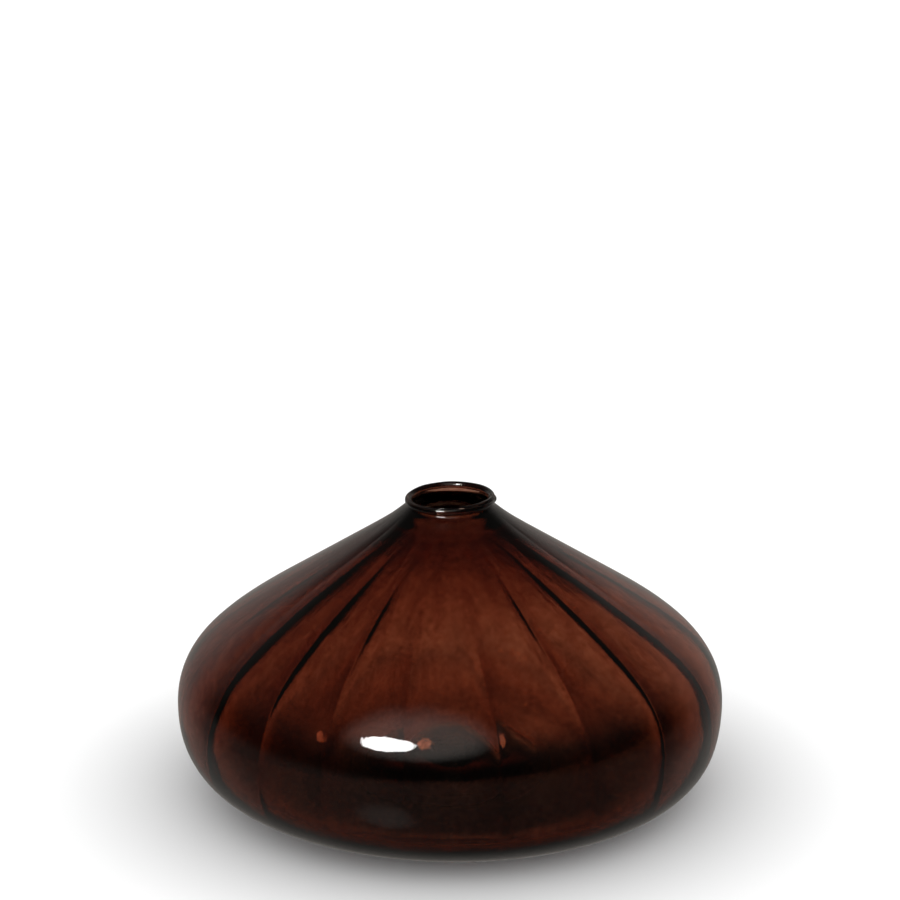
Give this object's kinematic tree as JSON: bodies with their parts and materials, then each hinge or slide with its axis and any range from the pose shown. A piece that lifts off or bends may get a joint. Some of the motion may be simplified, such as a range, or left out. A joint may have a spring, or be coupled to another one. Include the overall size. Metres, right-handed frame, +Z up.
{
  "type": "glass bud vase",
  "caption": "Squat onion-shaped bud vase of dark amber-brown blown glass, with a small wrapped lip, optic ribs running down from the neck and a hollowed base",
  "frame": {"origin": "centre of the ring the vase stands on, at the level of the table", "axes": "+Z up the axis of the vase and out of its mouth, +X towards the side where the tail of the lip thread ends, -Y towards the viewer of the front"},
  "size_m": [0.16, 0.16, 0.088],
  "materials": {
    "brown_glass": "glossy",
    "lip_glass": "glossy",
    "base_glass": "satin"
  },
  "bodies": {
    "root": {"blown_body": "brown_glass", "lip_wrap": "lip_glass", "pontil_mark": "base_glass"}
  },
  "joints": []
}
